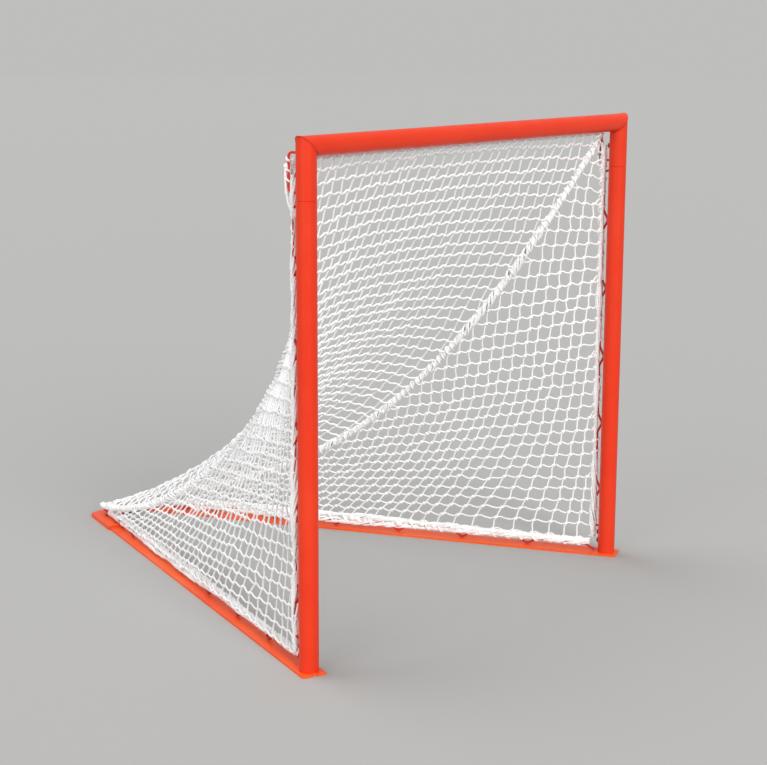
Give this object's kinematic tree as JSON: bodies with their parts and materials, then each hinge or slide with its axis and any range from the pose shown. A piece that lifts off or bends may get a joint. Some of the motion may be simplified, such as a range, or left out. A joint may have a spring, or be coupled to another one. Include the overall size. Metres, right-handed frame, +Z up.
{
  "type": "box lacrosse goal",
  "caption": "Knock-down box lacrosse goal: a painted tube frame on a flat V-shaped steel base, with a white three-panel net laced to rods behind it.",
  "frame": {"origin": "on the ground, at the centre of the goal's bounding box seen from above", "axes": "+Y from the mouth to the rear, +Z up, +X to the right for a player who faces the mouth"},
  "size_m": [1.3486, 1.463, 1.2685],
  "materials": {
    "frame_paint": "smooth orange-red powder coat",
    "fasteners": "dark red painted steel",
    "inner_tube": "plain steel, hidden inside the tubes",
    "net_cord": "white braided net cord",
    "lacing_cord": "white lacing cord, gathered along the rods and seams"
  },
  "bodies": {
    "root": {"base_rail_left": "frame_paint", "base_rail_right": "frame_paint", "corner_bolts": "fasteners", "corner_leg_left": "frame_paint", "corner_leg_right": "frame_paint", "corner_loop_left": "frame_paint", "corner_loop_right": "frame_paint", "corner_nuts": "fasteners", "corner_tie_left": "lacing_cord", "corner_tie_right": "lacing_cord", "corner_weld_left": "frame_paint", "corner_weld_right": "frame_paint", "crossbar": "frame_paint", "crossbar_lacing": "lacing_cord", "crossbar_lacing_rod": "frame_paint", "foot_bolts": "fasteners", "foot_nuts": "fasteners", "foot_spigot_left": "inner_tube", "foot_spigot_right": "inner_tube", "joint_sleeve_left": "inner_tube", "joint_sleeve_right": "inner_tube", "net_back_panel": "net_cord", "net_side_left": "net_cord", "net_side_right": "net_cord", "post_lacing_left": "lacing_cord", "post_lacing_right": "lacing_cord", "post_lacing_rod_left": "frame_paint", "post_lacing_rod_right": "frame_paint", "post_left": "frame_paint", "post_right": "frame_paint", "rail_lacing_left": "lacing_cord", "rail_lacing_right": "lacing_cord", "rail_lacing_rod_left": "frame_paint", "rail_lacing_rod_right": "frame_paint", "rear_corner": "frame_paint", "rear_corner_screws": "fasteners", "rear_lacing": "lacing_cord", "rear_lacing_rod": "frame_paint", "ridge_seam_left": "lacing_cord", "ridge_seam_right": "lacing_cord"}
  },
  "joints": []
}
